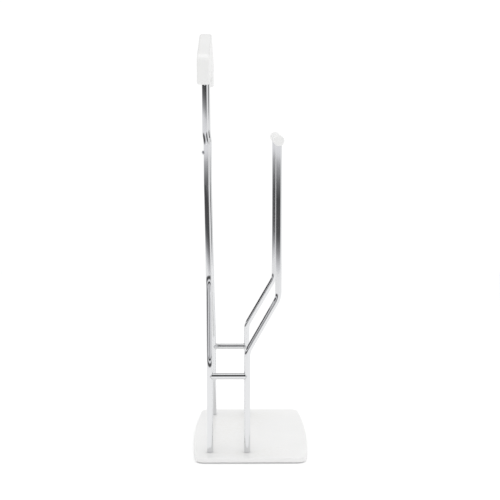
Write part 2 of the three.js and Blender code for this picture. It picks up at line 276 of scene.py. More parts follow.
@dataclass(frozen=True)
class Finish:
    """What every finish has: a name, the record's slot, a base colour and a roughness."""

    name: str
    slot: Slot
    color: Color
    roughness: float

    def material(self) -> Material:
        """The finish's material, made at the first call."""
        return bpy.data.materials.get(self.name) or self.make()

    def make(self) -> Material:
        """Makes the material and hands its parts to the finish's own recipe.

        Returns:
            The material.
        """
        material = bpy.data.materials.new(self.name)
        material.use_nodes = True
        graph = Graph(material.node_tree)
        self.recipe(graph, principled(material), graph.where())
        return material

    def recipe(self, graph: Graph, shader: Node, where: NodeSocket) -> None:
        """Fills in the nodes. Each finish has its own.

        Args:
            graph: the material's nodes.
            shader: its Principled BSDF.
            where: the object coordinates.
        """
        raise NotImplementedError

    def tinted(
        self, graph: Graph, mask: NodeSocket, tint: Color, under: Optional[NodeSocket] = None
    ) -> NodeSocket:
        """Mixes a tint over the base colour, or over another colour, by a mask.

        Args:
            graph: the material's nodes.
            mask: 0 keeps the colour underneath, 1 shows the tint.
            tint: the colour on top.
            under: the colour underneath, if it isn't the finish's own.

        Returns:
            The mixed colour's socket.
        """
        below = (*self.color, 1.0) if under is None else under
        inputs = {"A": below, "B": (*tint, 1.0), "Factor": mask}
        return graph.add("ShaderNodeMix", inputs, data_type="RGBA").outputs["Result"]

    def bumped(self, graph: Graph, shader: Node, height: NodeSocket, strength: float, depth: float) -> None:
        """Feeds a height into the shader's normal.

        Args:
            graph: the material's nodes.
            shader: the Principled BSDF.
            height: the height map's socket.
            strength: how much of the bump shows, from 0 to 1.
            depth: the bump's depth in metres.
        """
        bump = graph.add("ShaderNodeBump", {"Height": height, "Strength": strength, "Distance": depth})
        graph.feed(shader, {"Normal": bump.outputs["Normal"]})


def principled(material: Material) -> Node:
    """The Principled BSDF of a new material."""
    return next(node for node in material.node_tree.nodes if node.type == "BSDF_PRINCIPLED")


@dataclass(frozen=True)
class Lacquer(Finish):
    """Sprayed satin lacquer: a faint orange peel, soft sheen, a little dust and worn edges."""

    peel: float = 0.12
    dust: float = 0.25
    smear: float = 0.09
    wear: float = 0.35

    def recipe(self, graph: Graph, shader: Node, where: NodeSocket) -> None:
        """Builds the sprayed coat over the board or beech.

        Args:
            graph: the material's nodes.
            shader: its Principled BSDF.
            where: the object coordinates.
        """
        clouds = graph.remap(graph.noise(where, 9.0, 4.0), (0.3, 0.7), (0.0, 0.35))
        color = self.tinted(graph, clouds, tuple(channel * 0.975 for channel in self.color))
        color = self.tinted(graph, graph.effect(make_edge_group, self.wear)["Mask"], BARE_EDGE, color)
        color = self.tinted(graph, graph.effect(make_dust_group, self.dust)["Mask"], DUST_ON_WHITE, color)
        marks = graph.effect(make_handling_group, 1.0)
        rough = graph.remap(marks["Smear"], (0.0, 1.0), (self.roughness, self.roughness + self.smear))
        graph.feed(shader, {"Base Color": color, "Roughness": rough, "Specular IOR Level": 0.5})
        self.bumped(graph, shader, graph.noise(where, 850.0, 2.0), self.peel, 0.05 * MM)


@dataclass(frozen=True)
class Plating(Finish):
    """Bright metal plating: polished along the piece, with smears, hairlines and faint grinding."""

    smear: float = 0.05
    grain: Color = (1.0, 1.0, 0.02)
    polish: float = 0.02
    dust: float = 0.08

    def recipe(self, graph: Graph, shader: Node, where: NodeSocket) -> None:
        """Builds the plated metal.

        Args:
            graph: the material's nodes.
            shader: its Principled BSDF.
            where: the object coordinates.
        """
        marks = graph.effect(make_handling_group, 1.0)
        color = self.tinted(graph, marks["Scratch"], tuple(channel * 0.9 for channel in self.color))
        color = self.tinted(graph, graph.effect(make_dust_group, self.dust)["Mask"], DUST_ON_METAL, color)
        rough = graph.remap(marks["Smear"], (0.0, 1.0), (self.roughness, self.roughness + self.smear))
        graph.feed(shader, {"Base Color": color, "Roughness": rough, "Metallic": 1.0})
        self.bumped(graph, shader, graph.noise(where, 1200.0, 3.0, self.grain), self.polish, 0.02 * MM)


@dataclass(frozen=True)
class Felt(Finish):
    """Pressed felt: matted fibres in two shades."""

    def recipe(self, graph: Graph, shader: Node, where: NodeSocket) -> None:
        """Builds the matted fibres.

        Args:
            graph: the material's nodes.
            shader: its Principled BSDF.
            where: the object coordinates.
        """
        fibres = graph.noise(where, 2400.0, 6.0, (1.0, 0.35, 1.0))
        pale = tuple(min(1.0, channel * 1.3) for channel in self.color)
        color = self.tinted(graph, graph.remap(fibres, (0.35, 0.68)), pale)
        rough = graph.remap(fibres, (0.3, 0.7), (self.roughness - 0.1, self.roughness))
        graph.feed(shader, {"Base Color": color, "Roughness": rough, "Sheen Weight": 0.4})
        self.bumped(graph, shader, fibres, 0.8, 0.4 * MM)


BOARD_LACQUER = Lacquer("board_lacquer", Slot.LACQUER, (0.80, 0.80, 0.795), 0.30, peel=0.10, dust=0.22)
BEECH_LACQUER = Lacquer("beech_lacquer", Slot.LACQUER, (0.79, 0.79, 0.785), 0.34, peel=0.16, dust=0.12)
TUBE_CHROME = Plating("tube_chrome", Slot.CHROME, (0.73, 0.735, 0.745), 0.04, smear=0.03)
WELD_CHROME = Plating("weld_chrome", Slot.CHROME, (0.68, 0.685, 0.69), 0.14, 0.10, EVEN_GRAIN, polish=0.2)
ZINC_PLATE = Plating("zinc_plate", Slot.ZINC, (0.56, 0.57, 0.59), 0.24, 0.12, EVEN_GRAIN, polish=0.15)
GREY_FELT = Felt("grey_felt", Slot.FELT, (0.33, 0.325, 0.31), 0.98)


# Mesh helpers


def new_object(name: str, mesh: Mesh) -> Object:
    """Puts a mesh into the scene.

    Args:
        name: the object's name.
        mesh: its mesh.

    Returns:
        The object, at the origin.
    """
    obj = bpy.data.objects.new(name, mesh)
    bpy.context.scene.collection.objects.link(obj)
    return obj


def mesh_from(name: str, points: Sequence[Vector], faces: Sequence[Sequence[int]]) -> Mesh:
    """Makes a mesh whose faces are all shaded smooth and point outwards.

    Args:
        name: the mesh's name.
        points: its corners.
        faces: each face's corners, by their place in the list of points.

    Returns:
        The mesh.
    """
    mesh = bpy.data.meshes.new(name)
    mesh.from_pydata([tuple(p) for p in points], [], [tuple(f) for f in faces])
    work = bmesh.new()
    work.from_mesh(mesh)
    bmesh.ops.remove_doubles(work, verts=work.verts, dist=1e-7)
    bmesh.ops.recalc_face_normals(work, faces=work.faces)
    work.to_mesh(mesh)
    work.free()
    mesh.shade_smooth()
    return mesh


def settle(obj: Object) -> Object:
    """Turns an object's modifiers into plain mesh.

    Args:
        obj: the object, with its modifiers.

    Returns:
        The same object, with no modifiers.
    """
    bpy.context.view_layer.update()
    depsgraph = bpy.context.evaluated_depsgraph_get()
    mesh = bpy.data.meshes.new_from_object(obj.evaluated_get(depsgraph), depsgraph=depsgraph)
    obj.modifiers.clear()
    obj.data = mesh
    mesh.name = obj.name
    return obj


def discard(obj: Object) -> None:
    """Removes a helper object from the file."""
    bpy.data.objects.remove(obj, do_unlink=True)


def crease(obj: Object, degrees: float) -> None:
    """Marks the edges that turn by more than an angle as sharp."""
    obj.data.set_sharp_from_angle(angle=math.radians(degrees))


def thicken(obj: Object, wall: float) -> Object:
    """Gives a tube's skin its wall.

    Args:
        obj: the tube, as a single skin.
        wall: how thick the wall grows inwards.

    Returns:
        The same object, settled.
    """
    modifier = obj.modifiers.new("wall", "SOLIDIFY")
    modifier.thickness = wall
    modifier.offset = -1.0
    return settle(obj)


def drilled(obj: Object, drills: Iterable[Mesh]) -> Object:
    """Cuts solids out of a closed object.

    Args:
        obj: the object to cut.
        drills: the closed meshes to take away.

    Returns:
        The same object, cut and settled.
    """
    tools = [new_object(f"drill_{i}", mesh) for i, mesh in enumerate(drills)]
    for tool in tools:
        modifier = obj.modifiers.new("drill", "BOOLEAN")
        modifier.operation = "DIFFERENCE"
        modifier.solver = "EXACT"
        modifier.object = tool
    settle(obj)
    for tool in tools:
        discard(tool)
    return obj


def face_weighted(obj: Object) -> Object:
    """Lets large flat faces keep their own shading beside rounded edges.

    Args:
        obj: the object.

    Returns:
        The same object, settled.
    """
    crease(obj, 40.0)
    modifier = obj.modifiers.new("shading", "WEIGHTED_NORMAL")
    modifier.keep_sharp = True
    modifier.weight = 100
    return settle(obj)


def turned(
    name: str,
    profile: Sequence[Span],
    place: Vector = Vector((0.0, 0.0, 0.0)),
    direction: Vector = UP,
    sides: int = 48,
) -> Mesh:
    """Makes a turned solid.

    Args:
        name: the mesh's name.
        profile: (radius, height) pairs. A profile off the axis is closed into a ring.
        place: where height 0 lies on the axis.
        direction: the way height grows.
        sides: the number of sides around.

    Returns:
        The closed mesh.
    """
    carry = Matrix.Translation(place) @ direction.to_track_quat("Z", "Y").to_matrix().to_4x4()
    on_axis = profile[0][0] == 0.0
    points, rings = [], []
    for radius, height in profile:
        count = 1 if radius == 0.0 else sides
        rings.append(range(len(points), len(points) + count))
        for i in range(count):
            angle = 2.0 * math.pi * i / sides
            points.append(carry @ Vector((radius * math.cos(angle), radius * math.sin(angle), height)))
    faces = []
    for low, high in zip(rings, rings[1:] if on_axis else [*rings[1:], rings[0]]):
        for i in range(sides):
            j = (i + 1) % sides
            corners = [low[i % len(low)], low[j % len(low)], high[j % len(high)], high[i % len(high)]]
            faces.append(list(dict.fromkeys(corners)))
    return mesh_from(name, points, faces)


def arc_angles(steps: int) -> list[float]:
    """Evenly spaced angles from 0 to a quarter turn."""
    return [0.5 * math.pi * i / steps for i in range(steps + 1)]


def rounded_profile(radius: float, height: float, edge: float, steps: int = 4) -> list[Span]:
    """A cylinder's profile with both its edges rounded.

    Args:
        radius: the cylinder's radius.
        height: its height.
        edge: the radius of the rounded edges.
        steps: the number of chords around each edge.

    Returns:
        The (radius, height) pairs.
    """
    low = [(math.sin(a), 1.0 - math.cos(a)) for a in arc_angles(steps)]
    profile = [(0.0, 0.0)]
    profile += [(radius - edge + edge * out, edge * rise) for out, rise in low]
    profile += [(radius - edge + edge * out, height - edge * rise) for out, rise in reversed(low)]
    return [*profile, (0.0, height)]


def rounded_corner(before: Vector, corner: Vector, after: Vector, radius: float, steps: int) -> list[Vector]:
    """Rounds one corner of a flat outline.

    Args:
        before: the corner before it.
        corner: the corner itself.
        after: the corner after it.
        radius: the rounding's radius.
        steps: the number of chords along the arc.

    Returns:
        The points of the arc, tangent to both straight runs.
    """
    into = (corner - before).normalized()
    out = (after - corner).normalized()
    turn = into.angle(out)
    start = corner - into * radius * math.tan(turn / 2.0)
    axis = into.cross(out).normalized()
    centre = start + axis.cross(into) * radius
    return [centre + Matrix.Rotation(turn * i / steps, 3, axis) @ (start - centre) for i in range(steps + 1)]


def rounded_outline(corners: Sequence[tuple[float, float, float]], steps: int = 14) -> list[Vector]:
    """A closed outline on z = 0 with rounded corners.

    Args:
        corners: (x, y, radius) entries. A radius of 0 keeps the corner as a plain point.
        steps: the number of chords along each rounded corner.

    Returns:
        The outline's points.
    """
    places = [Vector((x, y, 0.0)) for x, y, _ in corners]
    outline: list[Vector] = []
    for i, (_, _, radius) in enumerate(corners):
        if radius == 0.0:
            outline.append(places[i])
        else:
            after = places[(i + 1) % len(places)]
            outline += rounded_corner(places[i - 1], places[i], after, radius, steps)
    return outline


def plate(name: str, outline: Sequence[Vector], thickness: float, edge: float, steps: int = 6) -> Mesh:
    """A plate of an outline that runs anticlockwise, with its long edges rounded, lying on z = 0.

    Args:
        name: the mesh's name.
        outline: the plate's outline on z = 0.
        thickness: the plate's thickness.
        edge: the radius of the rounded edges.
        steps: the number of chords around each edge.

    Returns:
        The closed mesh.
    """
    count = len(outline)
    inward = []
    for i in range(count):
        along = (outline[(i + 1) % count] - outline[i - 1]).normalized()
        inward.append(Vector((-along.y, along.x, 0.0)))
    lower = [(edge * (1.0 - math.sin(a)), edge * (1.0 - math.cos(a))) for a in arc_angles(steps)]
    levels = lower + [(inset, thickness - height) for inset, height in reversed(lower)]
    points = [p + n * inset + UP * height for inset, height in levels for p, n in zip(outline, inward)]
    faces = [list(range(count))[::-1], [count * (len(levels) - 1) + i for i in range(count)]]
    for level in range(len(levels) - 1):
        for i in range(count):
            j = (i + 1) % count
            low, high = level * count, (level + 1) * count
            faces.append([low + i, low + j, high + j, high + i])
    return mesh_from(name, points, faces)


# Geometry node trees


class GeometryGroup(Group):
    """A geometry node tree under construction, with named inputs."""

    def __init__(self, name: str, **inputs: str) -> None:
        """Starts the tree.

        Args:
            name: the tree's name.
            inputs: each input's socket type, besides the geometry and the material.
        """
        sockets = {"Geometry": "Geometry", **inputs, "Material": "Material"}
        super().__init__(name, "GeometryNodeTree", sockets, {"Geometry": "Geometry"})

    def attribute(self, name: str, kind: str) -> NodeSocket:
        """Reads a named attribute of the points."""
        inputs = {"Name": name}
        return self.add("GeometryNodeInputNamedAttribute", inputs, data_type=kind).outputs["Attribute"]

    def line(self) -> NodeSocket:
        """The edges that come in, as a curve."""
        given = {"Mesh": self.given["Geometry"]}
        return self.add("GeometryNodeMeshToCurve", given).outputs["Curve"]

    def swept(self, line: NodeSocket, girth: NodeSocket, sides: Feed) -> NodeSocket:
        """Sweeps a round section of the tree's radius along a line.

        Args:
            line: the curve to follow.
            girth: the factor on the radius at each point.
            sides: the number of sides around.

        Returns:
            The skin, shaded smooth.
        """
        spine = self.add("GeometryNodeSetCurveRadius", {"Curve": line, "Radius": girth})
        size = {"Resolution": sides, "Radius": self.given["Radius"]}
        section = self.add("GeometryNodeCurvePrimitiveCircle", size, mode="RADIUS")
        curves = {"Curve": spine.outputs["Curve"], "Profile Curve": section.outputs["Curve"]}
        skin = self.add("GeometryNodeCurveToMesh", curves)
        smooth = self.add("GeometryNodeSetShadeSmooth", {"Geometry": skin.outputs["Mesh"]})
        return smooth.outputs["Geometry"]

    def dressed(self, geometry: NodeSocket) -> NodeTree:
        """Ends the tree in Realize Instances and Set Material.

        Args:
            geometry: the socket with what the tree has made.

        Returns:
            The finished tree.
        """
        realize = self.add("GeometryNodeRealizeInstances", {"Geometry": geometry})
        inputs = {"Geometry": realize.outputs["Geometry"], "Material": self.given["Material"]}
        return self.finish(Geometry=self.add("GeometryNodeSetMaterial", inputs).outputs["Geometry"])


def make_tube_tree() -> NodeTree:
    """Makes a tube's skin along a line of corners, bent at each corner to that corner's own radius.

    Returns:
        The tree.
    """
    work = GeometryGroup("bent_tube", Radius="Float", Sides="Int", Steps="Int")
    radius = work.attribute("bend_radius", "FLOAT")
    inputs = {"Curve": work.line(), "Count": work.given["Steps"], "Radius": radius}
    bend = work.add("GeometryNodeFilletCurve", inputs, mode="POLY")
    girth = work.attribute("girth", "FLOAT")
    return work.dressed(work.swept(bend.outputs["Curve"], girth, work.given["Sides"]))


def make_copies_tree() -> NodeTree:
    """Makes copies of one pattern piece, one on each point, with its +Z turned to that point's facing.

    Returns:
        The tree.
    """
    work = GeometryGroup("set_in_place", Pattern="Object")
    pattern = work.add("GeometryNodeObjectInfo", {"Object": work.given["Pattern"]})
    points = work.add("GeometryNodeMeshToPoints", {"Mesh": work.given["Geometry"]})
    facing = {"Vector": work.attribute("facing", "FLOAT_VECTOR")}
    turn = work.add("FunctionNodeAlignRotationToVector", facing, axis="Z")
    inputs = {
        "Points": points.outputs["Points"],
        "Instance": pattern.outputs["Geometry"],
        "Rotation": turn.outputs["Rotation"],
    }
    return work.dressed(work.add("GeometryNodeInstanceOnPoints", inputs).outputs["Instances"])


def make_weld_tree() -> NodeTree:
    """Makes a weld bead: a small round seam that swells and dips with each drop of metal.

    Returns:
        The tree.
    """
    work = GeometryGroup("weld_bead", Radius="Float", Drops="Float", Ripple="Float", Seed="Float")
    place = work.add("GeometryNodeSplineParameter").outputs["Factor"]
    drop = work.calc("FRACT", work.product(place, work.given["Drops"]))
    inputs = {"Scale": 400.0, "W": work.given["Seed"]}
    wander = work.add("ShaderNodeTexNoise", inputs, noise_dimensions="4D")
    both = work.calc("ADD", drop, wander.outputs["Fac"])
    swell = work.calc("MULTIPLY_ADD", both, work.given["Ripple"], 1.0)
    return work.dressed(work.swept(work.line(), swell, 10))


def grown(obj: Object, maker: Callable[[], NodeTree], **values: object) -> Object:
    """Runs a geometry tree on an object and keeps the result as plain mesh.

    Args:
        obj: the object whose mesh the tree starts from.
        maker: the function that makes the tree.
        values: the tree's inputs.

    Returns:
        The same object, settled.
    """
    tree = shared(maker)
    modifier = obj.modifiers.new(tree.name, "NODES")
    modifier.node_group = tree
    for item in tree.interface.items_tree:
        if item.in_out == "INPUT" and item.name in values:
            modifier[item.identifier] = values[item.name]
    return settle(obj)


def point_object(name: str, places: Sequence[Vector], edges: Sequence[tuple[int, int]] = ()) -> Object:
    """Makes an object of bare points, or of a line of edges, for a tree to build on.

    Args:
        name: the object's name.
        places: the points.
        edges: the pairs of points to join.

    Returns:
        The object.
    """
    mesh = bpy.data.meshes.new(name)
    mesh.from_pydata([tuple(p) for p in places], list(edges), [])
    return new_object(name, mesh)


def write_attribute(obj: Object, name: str, kind: str, values: Sequence) -> None:
    """Writes one value for each point of an object's mesh.

    Args:
        obj: the object.
        name: the attribute's name.
        kind: "FLOAT" or "FLOAT_VECTOR".
        values: the values, in the order of the points.
    """
    attribute = obj.data.attributes.new(name, kind, "POINT")
    key = "vector" if kind == "FLOAT_VECTOR" else "value"
    for item, value in zip(attribute.data, values):
        setattr(item, key, value)


@dataclass(frozen=True)
class TubeStock:
    """The steel tube that the frame is made of."""

    radius: float = 8.0 * MM
    wall: float = 1.2 * MM
    chamfer: float = 0.5 * MM
    sides: int = 64
    bend_steps: int = 24

    def bent(self, name: str, corners: Sequence[Vector], radii: Sequence[float], finish: Finish) -> Object:
        """Makes a length of tube with small chamfers on both its ends.

        Args:
            name: the piece's name.
            corners: the centreline's ends and corners, from the bottom up.
            radii: the bend radius at each inner corner.
            finish: the tube's finish.

        Returns:
            The tube, hollow and open at both ends.
        """
        first = corners[0] + (corners[1] - corners[0]).normalized() * self.chamfer
        last = corners[-1] + (corners[-2] - corners[-1]).normalized() * self.chamfer
        places = [corners[0], first, *corners[1:-1], last, corners[-1]]
        line = point_object(name, places, [(i, i + 1) for i in range(len(places) - 1)])
        slim = 1.0 - self.chamfer / self.radius
        write_attribute(line, "bend_radius", "FLOAT", [0.0, 0.0, *radii, 0.0, 0.0])
        write_attribute(line, "girth", "FLOAT", [slim, 1.0, *([1.0] * len(radii)), 1.0, slim])
        size = {"Radius": self.radius, "Sides": self.sides, "Steps": self.bend_steps}
        tube = grown(line, make_tube_tree, Material=finish.material(), **size)
        thicken(tube, self.wall)
        crease(tube, 30.0)
        return tube


# Placing


@lru_cache(maxsize=None)
def box(node: str) -> tuple[Vector, Vector]:
    """The lowest and highest corner of a frame node, measured once."""
    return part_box(node)


def middle(node: str) -> Vector:
    """The middle of a frame node's box."""
    low, high = box(node)
    return (low + high) / 2.0


def fit(piece: Object, finish: Finish, nodes: Iterable[str] = ()) -> None:
    """Dresses a finished piece, ties it to its body and lets it stand for the frame's nodes.

    Args:
        piece: the finished piece.
        finish: its finish.
        nodes: the frame's nodes that it stands for.
    """
    piece.data.materials.clear()
    piece.data.materials.append(finish.material())
    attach(piece, ROOT)
    names = list(nodes)
    if names:
        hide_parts(*names)
    log.info("%s: %d faces, for %s", piece.name, len(piece.data.polygons), ", ".join(names) or "no node")


def dress_nodes(finish: Finish, nodes: Iterable[str]) -> None:
    """Gives a finish to frame nodes that are shown as they are."""
    for name in nodes:
        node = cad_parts[name]
        node.data.materials.clear()
        node.data.materials.append(finish.material())
        log.info("%s: kept from the frame", name)


def set_in_place(
    name: str, pattern: Object, places: Sequence[Vector], facing: Vector, finish: Finish
) -> Object:
    """Sets copies of a pattern piece at several places, and removes the pattern.

    Args:
        name: the new piece's name.
        pattern: the pattern, on the origin with +Z as its axis.
        places: where the copies go.
        facing: the way their +Z points.
        finish: their finish.

    Returns:
        One piece that holds every copy.
    """
    host = point_object(name, places)
    write_attribute(host, "facing", "FLOAT_VECTOR", [facing] * len(places))
    piece = grown(host, make_copies_tree, Pattern=pattern, Material=finish.material())
    discard(pattern)
    return piece


# Sub-assemblies


@dataclass
class ScrewPattern:
    """A screw head with a hexagonal socket, on a plain shank."""

    head_radius: float
    head_height: float
    shank_radius: float
    shank_length: float
    socket_radius: float
    socket_depth: float
    crown: float
    sunk: bool = False
    tip: float = 0.4 * MM
    crown_steps: int = 7

    def build(self) -> Object:
        """Makes the screw with the underside of its head on z = 0 and its shank along -Z.

        Returns:
            The pattern piece.
        """
        top, shank = self.head_height, self.shank_radius
        angles = [0.5 * math.pi * i / self.crown_steps for i in range(self.crown_steps)]
        shoulder = top - self.crown
        dome = [(self.head_radius * math.cos(a), shoulder + self.crown * math.sin(a)) for a in angles]
        neck = -0.5 * self.head_radius if self.sunk else 0.0
        end = -self.shank_length
        stem = [(0.0, end), (shank * 0.8, end), (shank, end + self.tip), (shank, neck)]
        profile = [*stem, (self.head_radius, 0.0), *dome, (0.0, top)]
        screw = new_object("screw_pattern", turned("screw_pattern", profile))
        floor, reach = top - self.socket_depth, self.socket_radius
        hollow = [(0.0, floor - 0.3 * MM), (reach, floor), (reach, top + MM), (0.0, top + MM)]
        drilled(screw, [turned("socket", hollow, sides=6)])
        crease(screw, 35.0)
        return screw


@dataclass
class Board:
    """The lacquered board with its glides and the fixings under it."""

    side_radius: float = 2.1
    corner_radius: float = 22.0 * MM
    edge_round: float = 2.0 * MM
    side_chords: int = 16
    counterbore_radius: float = 8.0 * MM
    counterbore_depth: float = 6.0 * MM
    bolt_hole_radius: float = 3.3 * MM
    bolt_head: float = 3.5 * MM
    washer_edge: float = 0.2 * MM
    ends: tuple[str, ...] = ("rear", "front")

    def per_foot(self, stem: str) -> list[str]:
        """The four frame nodes of one kind, one at each tube foot or glide."""
        return [f"{stem}_{end}_{side.word}" for side in Side for end in self.ends]

    def outline(self) -> list[Vector]:
        """Draws the board's outline: bowed long sides between rounded corners.

        Returns:
            The outline's points.
        """
        half = box("base_board")[1]

        def bowed(x: float) -> float:
            """The board's half depth at a place along its length."""
            return half.y - (self.side_radius - math.sqrt(self.side_radius**2 - x**2))

        stations = [half.x * (2.0 * i / self.side_chords - 1.0) for i in range(self.side_chords + 1)]
        rounding = [self.corner_radius] + [0.0] * (self.side_chords - 1) + [self.corner_radius]
        front = [(x, -bowed(x), radius) for x, radius in zip(stations, rounding)]
        back = [(-x, bowed(x), radius) for x, radius in zip(stations, rounding)]
        return rounded_outline(front + back)

    def build(self) -> None:
        """Makes the board, its glides, bolts and washers."""
        self.build_board()
        self.build_glides()
        self.build_bolts()
        self.build_washers()
        dress_nodes(ZINC_PLATE, self.per_foot("foot_insert"))

    def build_board(self) -> None:
        """Makes the board with its counterbored bolt holes."""
        low, high = box("base_board")
        thickness = high.z - low.z
        mesh = plate("board", self.outline(), thickness, self.edge_round)
        mesh.transform(Matrix.Translation(UP * low.z))
        through = rounded_profile(self.bolt_hole_radius, thickness + 2 * MM, 0.1 * MM)
        seat = rounded_profile(self.counterbore_radius, self.counterbore_depth + MM, 0.3 * MM)
        holes = []
        for bolt in self.per_foot("base_bolt"):
            foot = middle(bolt)
            below = Vector((foot.x, foot.y, low.z - MM))
            holes += [turned("bolt_hole", through, below), turned("counterbore", seat, below)]
        board = drilled(new_object("lacquered_board", mesh), holes)
        fit(face_weighted(board), BOARD_LACQUER, ["base_board"])

    def feet(self, nodes: Sequence[str], height: float) -> list[Vector]:
        """The middles of some frame nodes, brought to one height."""
        return [Vector((middle(node).x, middle(node).y, height)) for node in nodes]

    def build_glides(self) -> None:
        """Makes the felt glides."""
        names = self.per_foot("glide")
        low, high = box(names[0])
        profile = rounded_profile((high.x - low.x) / 2.0, high.z - low.z, 0.5 * MM)
        pattern = new_object("glide_pattern", turned("glide_pattern", profile))
        places = self.feet(names, low.z)
        fit(set_in_place("felt_glides", pattern, places, UP, GREY_FELT), GREY_FELT, names)

    def build_bolts(self) -> None:
        """Makes the bolts in the counterbores."""
        names = self.per_foot("base_bolt")
        low, high = box(names[0])
        bolt = ScrewPattern(
            head_radius=(high.x - low.x) / 2.0,
            head_height=self.bolt_head,
            shank_radius=3.0 * MM,
            shank_length=high.z - low.z - self.bolt_head,
            socket_radius=2.9 * MM,
            socket_depth=2.2 * MM,
            crown=1.4 * MM,
        )
        places = self.feet(names, low.z + self.bolt_head)
        fit(set_in_place("base_bolts", bolt.build(), places, -UP, ZINC_PLATE), ZINC_PLATE, names)

    def build_washers(self) -> None:
        """Makes the washers over the bolt heads."""
        names = self.per_foot("base_washer")
        low, high = box(names[0])
        outer, top, edge = (high.x - low.x) / 2.0, high.z - low.z, self.washer_edge
        inner = [(self.bolt_hole_radius, 0.0), (outer - edge, 0.0), (outer, edge)]
        profile = [*inner, (outer, top - edge), (outer - edge, top), (self.bolt_hole_radius, top)]
        pattern = new_object("washer_pattern", turned("washer_pattern", profile))
        crease(pattern, 35.0)
        places = self.feet(names, low.z)
        fit(set_in_place("base_washers", pattern, places, UP, ZINC_PLATE), ZINC_PLATE, names)


@dataclass
class SidePart:
    """What the sub-assemblies on one side of the stand share."""

    side: Side
    stock: TubeStock = field(default_factory=TubeStock)
    board_top: float = 14.0 * MM

    def at(self, x: float, y: float, height: float) -> Vector:
        """A point on this side, at a height above the board's top."""
        return Vector((self.side.value * x, y, self.board_top + height))

    def named(self, stem: str) -> str:
        """The name of this side's piece or frame node of a kind."""
        return f"{stem}_{self.side.word}"

    def reach(self, node: str) -> Span:
        """How close to the middle and how far out the centreline of a tube runs."""
        near, far = sorted(abs(corner.x) for corner in box(node))
        return near + self.stock.radius, far - self.stock.radius


@dataclass
class SideFrame(SidePart):
    """One side's rear upright, front upright and the rung welded between them."""

    shoulder_low: float = 240.0 * MM
    shoulder_high: float = 430.0 * MM
    lean_end: float = 690.0 * MM
    rear_radii: tuple[float, ...] = (120.0 * MM, 120.0 * MM, 300.0 * MM)
    step_low: float = 266.0 * MM
    step_high: float = 406.0 * MM
    front_radii: tuple[float, ...] = (52.0 * MM, 52.0 * MM)
    rung_gap: float = 0.1 * MM
    rung_rows: int = 24
    weld_radius: float = 1.1 * MM
    weld_points: int = 96
    weld_drops: float = 26.0
    weld_ripple: float = 0.12

    def build(self) -> None:
        """Makes the side frame's tubes and welds."""
        self.build_rear()
        self.build_front()
        self.build_rung()
        self.build_welds()

    def build_rear(self) -> None:
        """Makes the rear upright: straight, drawn in at the shoulder, then straight up to the seam."""
        node = self.named("rear_upright")
        low, high = box(node)
        foot_y, seam_y = low.y + self.stock.radius, high.y - self.stock.radius
        back_x, foot_x = self.reach(node)
        lean = (self.shoulder_high - self.shoulder_low) / (self.lean_end - self.shoulder_low)
        corners = [
            self.at(foot_x, foot_y, low.z - self.board_top),
            self.at(foot_x, foot_y, self.shoulder_low),
            self.at(back_x, foot_y + (seam_y - foot_y) * lean, self.shoulder_high),
            self.at(back_x, seam_y, self.lean_end),
            self.at(back_x, seam_y, high.z - self.board_top),
        ]
        tube = self.stock.bent(self.named("rear_tube"), corners, self.rear_radii, TUBE_CHROME)
        fit(tube, TUBE_CHROME, [node])

    def build_front(self) -> None:
        """Makes the front upright: straight, stepped forwards, then straight up into the trouser bar."""
        node = self.named("front_upright")
        low, high = box(node)
        top_x, foot_x = self.reach(node)
        foot_y, top_y = high.y - self.stock.radius, low.y + self.stock.radius
        corners = [
            self.at(foot_x, foot_y, low.z - self.board_top),
            self.at(foot_x, foot_y, self.step_low),
            self.at(top_x, top_y, self.step_high),
            self.at(top_x, top_y, high.z - self.board_top),
        ]
        tube = self.stock.bent(self.named("front_tube"), corners, self.front_radii, TUBE_CHROME)
        fit(tube, TUBE_CHROME, [node])

    def saddle(self, angle: float, toward: int) -> Vector:
        """Finds a point where the rung's skin meets an upright.

        Args:
            angle: the angle around the rung.
            toward: -1 for the front upright, 1 for the rear one.

        Returns:
            The point.
        """
        centre, radius = middle(self.named("rung")), self.stock.radius
        front = box(self.named("front_upright"))[1].y - radius
        rear = box(self.named("rear_upright"))[0].y + radius
        x, z = radius * math.cos(angle), radius * math.sin(angle)
        reach = math.sqrt(max(0.0, (radius + self.rung_gap) ** 2 - x**2))
        y = rear - reach if toward > 0 else front + reach
        return Vector((centre.x + x, y, centre.z + z))

    def build_rung(self) -> None:
        """Makes the rung, its ends shaped to the round of both uprights."""
        sides, rows = self.stock.sides, self.rung_rows
        points = []
        for row in range(rows + 1):
            for i in range(sides):
                angle = 2.0 * math.pi * i / sides
                points.append(self.saddle(angle, -1).lerp(self.saddle(angle, 1), row / rows))
        faces = []
        for low in range(0, rows * sides, sides):
            for i in range(sides):
                j = (i + 1) % sides
                faces.append([low + i, low + j, low + sides + j, low + sides + i])
        rung = new_object(self.named("rung_tube"), mesh_from("rung", points, faces))
        thicken(rung, self.stock.wall)
        crease(rung, 35.0)
        fit(rung, TUBE_CHROME, [self.named("rung")])

    def build_welds(self) -> None:
        """Makes the two beads that join the rung to its uprights."""
        places, edges = [], []
        count = self.weld_points
        for toward in (-1, 1):
            start = len(places)
            places += [self.saddle(2.0 * math.pi * i / count, toward) for i in range(count)]
            edges += [(start + i, start + (i + 1) % count) for i in range(count)]
        line = point_object(self.named("rung_welds"), places, edges)
        bead = grown(
            line,
            make_weld_tree,
            Radius=self.weld_radius,
            Drops=self.weld_drops,
            Ripple=self.weld_ripple,
            Seed=float(self.side.value),
            Material=WELD_CHROME.material(),
        )
        fit(bead, WELD_CHROME)


